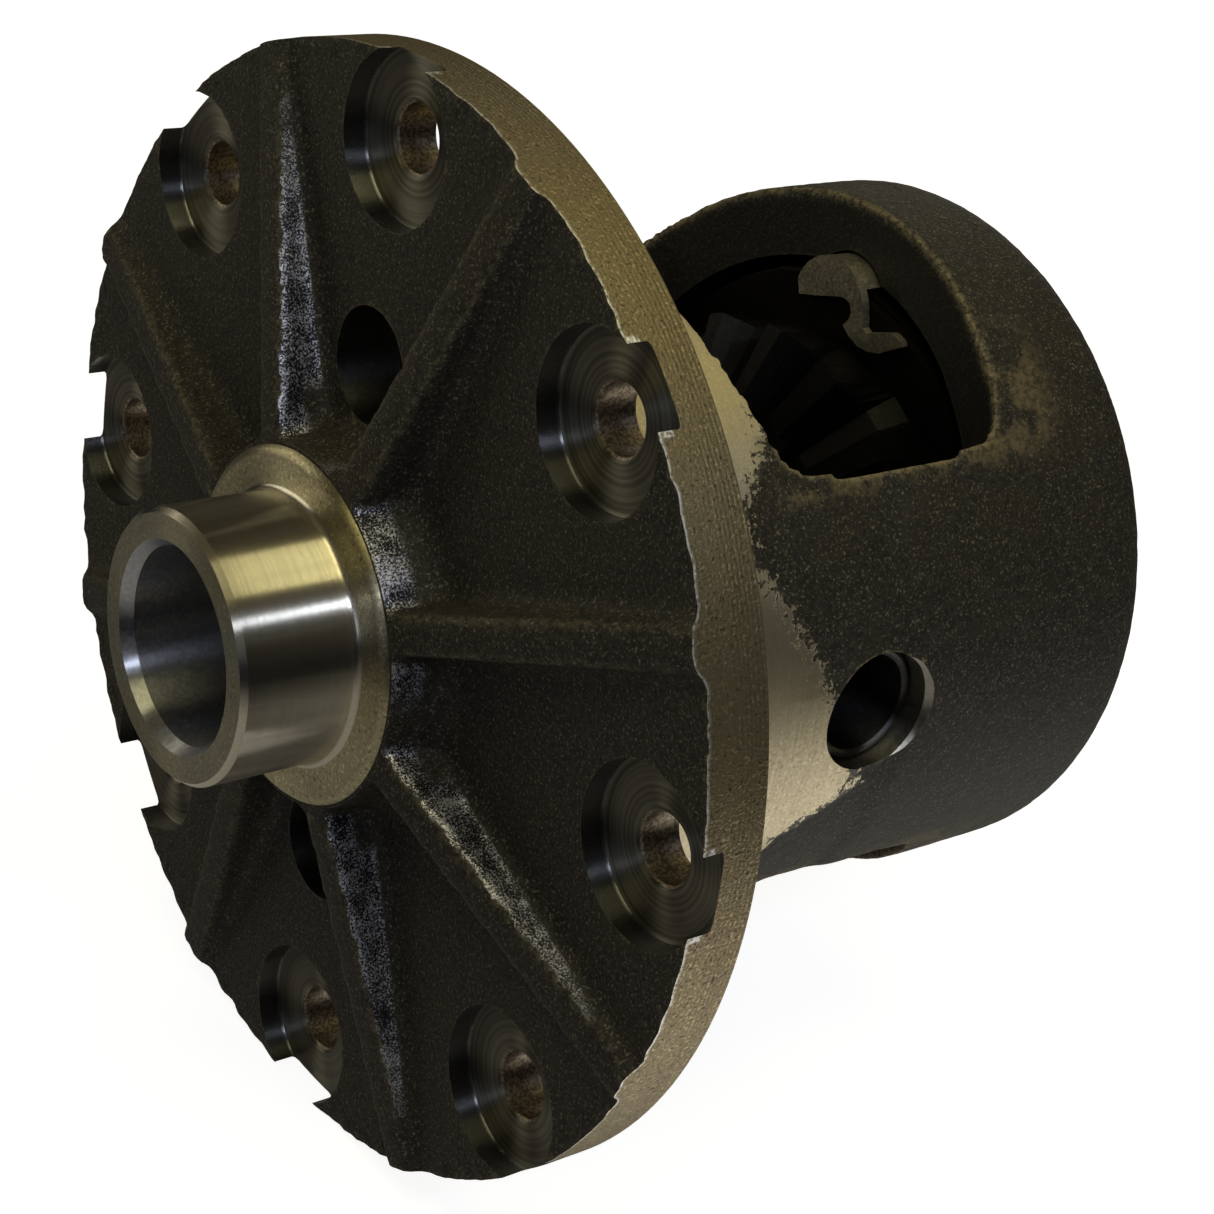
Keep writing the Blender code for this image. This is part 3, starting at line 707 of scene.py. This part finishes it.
def bolt_holes(bm):
    """A spotface and a hole for each bolt, with a small radius in the spotface's corner."""
    profile = [(-75, 0), (-75, SPOTFACE_R), (SPOTFACE_FLOOR - 0.62, SPOTFACE_R)]
    profile += [(SPOTFACE_FLOOR - 0.5, SPOTFACE_R), (SPOTFACE_FLOOR - 0.15, SPOTFACE_R - 0.15)]
    profile += [(SPOTFACE_FLOOR, SPOTFACE_R - 0.5), (SPOTFACE_FLOOR, SPOTFACE_R - 0.62)]
    profile += [(SPOTFACE_FLOOR, BOLT_HOLE_R + 0.75), (SPOTFACE_FLOOR + 0.5, BOLT_HOLE_R)]
    profile += [(-40, BOLT_HOLE_R), (-40, 0)]
    for k in range(BOLTS):
        centre = around(0, BOLT_CIRCLE, 2 * math.pi * k / BOLTS)
        lathe(bm, profile, 64, beside_axle(centre.y, centre.z))


def inner_spaces(bm):
    """Axle bore, hub seats, clutch pockets and the ball-shaped pinion seats."""
    bore, pocket = 0, 1
    mouth, reach = BORE_MOUTH_R, PINION_SEAT_REACH
    seat = [
        (along, math.sqrt(PINION_SEAT_R**2 - along * along), pocket)
        for along in (-reach, -9, -4.5, 0, 4.5, 9, reach)
    ]
    profile = [(-95, 0, bore), (-95, mouth, bore), (JOURNAL_NEAR, mouth, bore)]
    profile += [(JOURNAL_NEAR + 1.9, BORE_R, bore), (-HUB_END, BORE_R, pocket)]
    profile += [(-HUB_END, HUB_SEAT_R, pocket), (-POCKET_END, HUB_SEAT_R, pocket)]
    profile += [(-POCKET_END, POCKET_R, pocket), (-reach, POCKET_R, pocket)]
    profile += seat
    profile += [(reach, POCKET_R, pocket), (POCKET_END, POCKET_R, pocket)]
    profile += [(POCKET_END, HUB_SEAT_R, pocket), (HUB_END, HUB_SEAT_R, pocket)]
    profile += [(HUB_END, BORE_R, bore), (JOURNAL_FAR - 1.9, BORE_R, bore)]
    profile += [(JOURNAL_FAR, mouth, bore), (90, mouth, bore), (90, 0, bore)]
    lathe(bm, profile, 128)


def clip_bores(bm):
    for side in (1, -1):
        profile = drilling(CLIP_BORE_END, CLIP_BORE_R, start=-75)
        lathe(bm, profile, 48, beside_axle(0, side * CLIP_CENTRE))


def shaft_bore(bm):
    """The cross-shaft's bore, with a chamfer at each end that starts 1 mm below the skin."""
    chamfer, far = BARREL_R - 1, 70
    mouth = SHAFT_BORE_R + 12.6
    profile = [(-far, 0), (-far, mouth), (-chamfer, SHAFT_BORE_R)]
    profile += [(-along, radius) for along, radius in reversed(profile)]
    lathe(bm, profile, 96, around_y)


def lock_hole(bm):
    """The lock screw's hole from the far end, wider where its head goes."""
    profile = ((70, 0), (70, LOCK_HEAD_R), (53, LOCK_HEAD_R), (53, LOCK_HOLE_R))
    profile += ((-13, LOCK_HOLE_R), (-13, 0))
    lathe(bm, profile, 32, beside_axle(LOCK_Y, 0))


def build_case():
    case = shape(cast_blank, name="case_casting")
    carve(case, "UNION", shape(ribs))
    carve(case, "DIFFERENCE", shape(windows))
    apply(case, "REMESH", mode="VOXEL", voxel_size=VOXEL * MM, adaptivity=0.0)
    apply(case, "SMOOTH", factor=0.5, iterations=3)
    points = vectors_of(case.data, "co") / MM
    roughen(points, vectors_of(case.data, "normal"))
    case.data.vertices.foreach_set("co", (points * MM).ravel())
    case.data.update()
    case.data.materials.clear()
    case.data.materials.append(CAST)
    turned_bands = (RIM, JOURNAL, SHOULDER, PILOT, CAST, END_FACE)
    carve(case, "INTERSECT", shape(turned_envelope, turned_bands))
    carve(case, "DIFFERENCE", shape(bolt_holes, (SPOT,)))
    carve(case, "DIFFERENCE", shape(inner_spaces, (BORE, POCKET)))
    carve(case, "DIFFERENCE", shape(clip_bores, (CLIP_BORE,)))
    carve(case, "DIFFERENCE", shape(shaft_bore, (PIN_BORE,)))
    carve(case, "DIFFERENCE", shape(lock_hole, (BORE,)))
    finish_mesh(case)
    return case


case = build_case()
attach(case, "case")
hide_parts("case")


# ---------------------------------------------------------------- inner parts


def shaft_body(bm):
    """The shaft, drilled out at its front end."""
    skin, socket = 0, 1
    front, back = -SHAFT_END, SHAFT_END
    profile = [(front + SOCKET_DEPTH + 3, 0, socket), (front + SOCKET_DEPTH, SOCKET_R, socket)]
    profile += [(front + 0.4, SOCKET_R, socket), (front, SOCKET_R + 0.4, socket)]
    profile += [(front, SHAFT_R - 0.6, socket), (front + 0.6, SHAFT_R, skin)]
    profile += [(back - 1.2, SHAFT_R, skin), (back - 0.2, SHAFT_R - 1.0, skin)]
    profile += [(back, SHAFT_R - 1.3, skin), (back, 0, skin)]
    lathe(bm, profile, 96, around_y)


def lock_crossing(bm):
    lathe(bm, drilling(20, LOCK_HOLE_R, start=-20), 32, beside_axle(LOCK_Y, 0))


def build_cross_shaft():
    """The shaft, crossed by the lock screw's hole at its back end."""
    made = shape(shaft_body, (GROUND, SOCKET), name="drilled_cross_shaft")
    carve(made, "DIFFERENCE", shape(lock_crossing, (GROUND,)))
    finish_mesh(made)
    return made


def build_clip(name, along_sign, side):
    """A spring-steel liner round the ears of the plates, behind a crown with one bent foot."""
    crown = [math.radians(-75 + 155 * k / 20) for k in range(21)]
    front = [(8.4 * math.sin(t), 8.4 * math.cos(t)) for t in crown]
    front += [(8.6, 0.5), (8.8, -0.7), (9.7, -1.2), (15.6, 0.9), (17.6, 0.2), (18.0, -0.6)]
    front += [(13.4, -3.4), (10.8, -4.0), (8.3, -4.0), (6.0, -3.1), (4.2, -1.8), (5.3, -0.5)]
    front += [(5.6, 0.9), (4.9, 2.2), (3.6, 2.6), (2.4, 2.5), (-2.6, 0.9), (-7.2, -0.4)]
    turns = [math.radians(-52 + 104 * k / 16) for k in range(17)]
    liner = [(8.3 * math.sin(t), 8.3 * math.cos(t)) for t in turns]
    liner += [(7.0 * math.sin(t), 7.0 * math.cos(t)) for t in reversed(turns)]
    bm = bmesh.new()
    for outline, start, end in ((front, CLIP_FRONT, CROWN_BACK), (liner, LINER_FRONT, CLIP_BACK)):
        prism(bm, *(
            [bm.verts.new((along_sign * x, -side * y, side * (CLIP_CENTRE + z))) for y, z in outline]
            for x in (start, end)
        ))
    made = add(bm, name, (CLIP_STEEL,))
    finish_mesh(made)
    return made


FINISHES = {
    "cross_shaft": GROUND, "side_gear": FORGED, "pinion_gear": FORGED, "friction_disc": FACING,
    "eared_plate": PLATE, "spring_plate": SPRING, "ear_clip": SPRING, "thrust_washer": SPRING,
}
for name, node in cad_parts.items():
    for start, finish in FINISHES.items():
        if name.startswith(start):
            node.data.materials.clear()
            node.data.materials.append(finish)
            weld = node.modifiers.new("weld", "WELD")
            weld.merge_threshold = 1e-6

shaft = build_cross_shaft()
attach(shaft, "case")
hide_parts("cross_shaft")

for where, along_sign in (("left", -1), ("right", 1)):
    for level, side in (("upper", 1), ("lower", -1)):
        name = "ear_clip_%s_%s" % (where, level)
        clip = build_clip("bent_" + name, along_sign, side)
        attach(clip, "case")
        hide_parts(name)


# ---------------------------------------------------------------- floor, light and camera


def lamp(name, towards, distance, size, colour, radiance, up=(0, 0, 1)):
    """A soft box seen from the origin in this direction, as bright as radiance. It shines at the
    origin, and its own Y points towards up."""
    data = bpy.data.lights.new(name, "AREA")
    data.shape = "RECTANGLE"
    data.size, data.size_y = size
    data.color = colour
    data.energy = radiance * math.pi * size[0] * size[1]
    made = bpy.data.objects.new(name, data)
    away = Vector(towards).normalized()
    side = Vector(up).cross(away).normalized()
    made.location = away * distance
    made.rotation_euler = Matrix((side, away.cross(side), away)).transposed().to_euler()
    bpy.context.scene.collection.objects.link(made)


WARM, COOL = (1.0, 0.91, 0.47), (0.78, 0.85, 1.0)
lamp("overhead_softbox", (-0.15, -0.24, 0.96), 1.0, (0.62, 0.90), WARM, 2.0, up=(1, 0, 0))
lamp("side_strip", (-0.25, -0.774, 0.633), 1.03, (0.10, 1.30), COOL, 5.6, up=(1, 0, 0))
lamp("left_fill", (-0.55, 0.80, 0.20), 1.2, (0.6, 0.6), (1.0, 0.93, 0.70), 1.2)
lamp("back_fill", (0.80, 0.50, 0.35), 1.3, (0.7, 0.7), (1.0, 0.95, 0.84), 0.8)
lamp("low_fill", (0.55, -0.35, -0.75), 1.1, (0.8, 0.8), (1.0, 0.97, 0.88), 1.0)
lamp("front_fill", (-0.95, -0.25, 0.05), 1.4, (0.30, 0.30), COOL, 1.1)

FLOOR_GAP, FLOOR_HALF_WIDTH = 0.25, 3000
bm = bmesh.new()
bmesh.ops.create_grid(bm, x_segments=2, y_segments=2, size=FLOOR_HALF_WIDTH)
for vertex in bm.verts:
    vertex.co.z = -FLANGE_R - FLOOR_GAP
pale = Graph("pale_floor")
tint = pale.mix(pale.noise(300, 2), (0.50, 0.51, 0.54), (0.52, 0.53, 0.56))
glow = pale.between(pale.math("SQRT", pale.squares(pale.x, pale.y)), 400, 1500, 0.88, 1.0)
pale.set(base_color=tint, roughness=0.9, emission_color=(1.0, 1.0, 1.0), emission_strength=glow)
floor = add(bm, "floor", (pale.material,))
floor.visible_diffuse = False
floor.visible_glossy = False
floor.visible_shadow = False

# The camera sees plain white; everything else sees a dim room, warmer above, and a pale ground.
world = bpy.data.worlds.new("studio")
bpy.context.scene.world = world
world.use_nodes = True
nodes, links = world.node_tree.nodes, world.node_tree.links


def ramp(value, stops):
    """Colours by (place, colour) stops."""
    node = nodes.new("ShaderNodeValToRGB")
    links.new(value, node.inputs[0])
    elements = node.color_ramp.elements
    elements.remove(elements[1])
    for k, (place, colour) in enumerate(stops):
        stop = elements[0] if k == 0 else elements.new(place)
        stop.position, stop.color = place, (*colour, 1)
    return node.outputs[0]


white = nodes["Background"]
white.inputs["Color"].default_value = (1, 1, 1, 1)
direction = nodes.new("ShaderNodeTexCoord")
height = nodes.new("ShaderNodeSeparateXYZ")
links.new(direction.outputs["Generated"], height.inputs[0])
depth = nodes.new("ShaderNodeMath")
depth.operation = "MULTIPLY"
depth.inputs[1].default_value = -1
links.new(height.outputs["Z"], depth.inputs[0])
sky_stops = (0.0, (0.010, 0.010, 0.012)), (0.35, (0.05, 0.045, 0.03)), (1.0, (0.10, 0.085, 0.05))
ground_stops = (0.18, (0, 0, 0)), (0.55, (0.24, 0.225, 0.185))
both = nodes.new("ShaderNodeMix")
both.data_type = "RGBA"
both.blend_type = "ADD"
both.inputs["Factor"].default_value = 1
links.new(ramp(height.outputs["Z"], sky_stops), both.inputs[6])
links.new(ramp(depth.outputs[0], ground_stops), both.inputs[7])
room = nodes.new("ShaderNodeBackground")
links.new(both.outputs[2], room.inputs["Color"])
path = nodes.new("ShaderNodeLightPath")
chooser = nodes.new("ShaderNodeMixShader")
links.new(path.outputs["Is Camera Ray"], chooser.inputs[0])
links.new(room.outputs[0], chooser.inputs[1])
links.new(white.outputs[0], chooser.inputs[2])
links.new(chooser.outputs[0], nodes["World Output"].inputs["Surface"])

camera = bpy.data.objects.new("camera", bpy.data.cameras.new("camera"))
bpy.context.scene.collection.objects.link(camera)
right = Vector((0.799091, -0.586996, 0.129959))
upward = Vector((0.139803, 0.391661, 0.909427))
camera.matrix_world = Matrix.LocRotScale(
    Vector((-0.258349, -0.293960, 0.176649)),
    Matrix((right, upward, right.cross(upward))).transposed(),
    None,
)
camera.data.sensor_width = 36
camera.data.lens = 77.617
camera.data.shift_x, camera.data.shift_y = 0.02383, -0.08912
camera.data.clip_start = 0.01
bpy.context.scene.camera = camera
bpy.context.scene.view_settings.view_transform = "Standard"
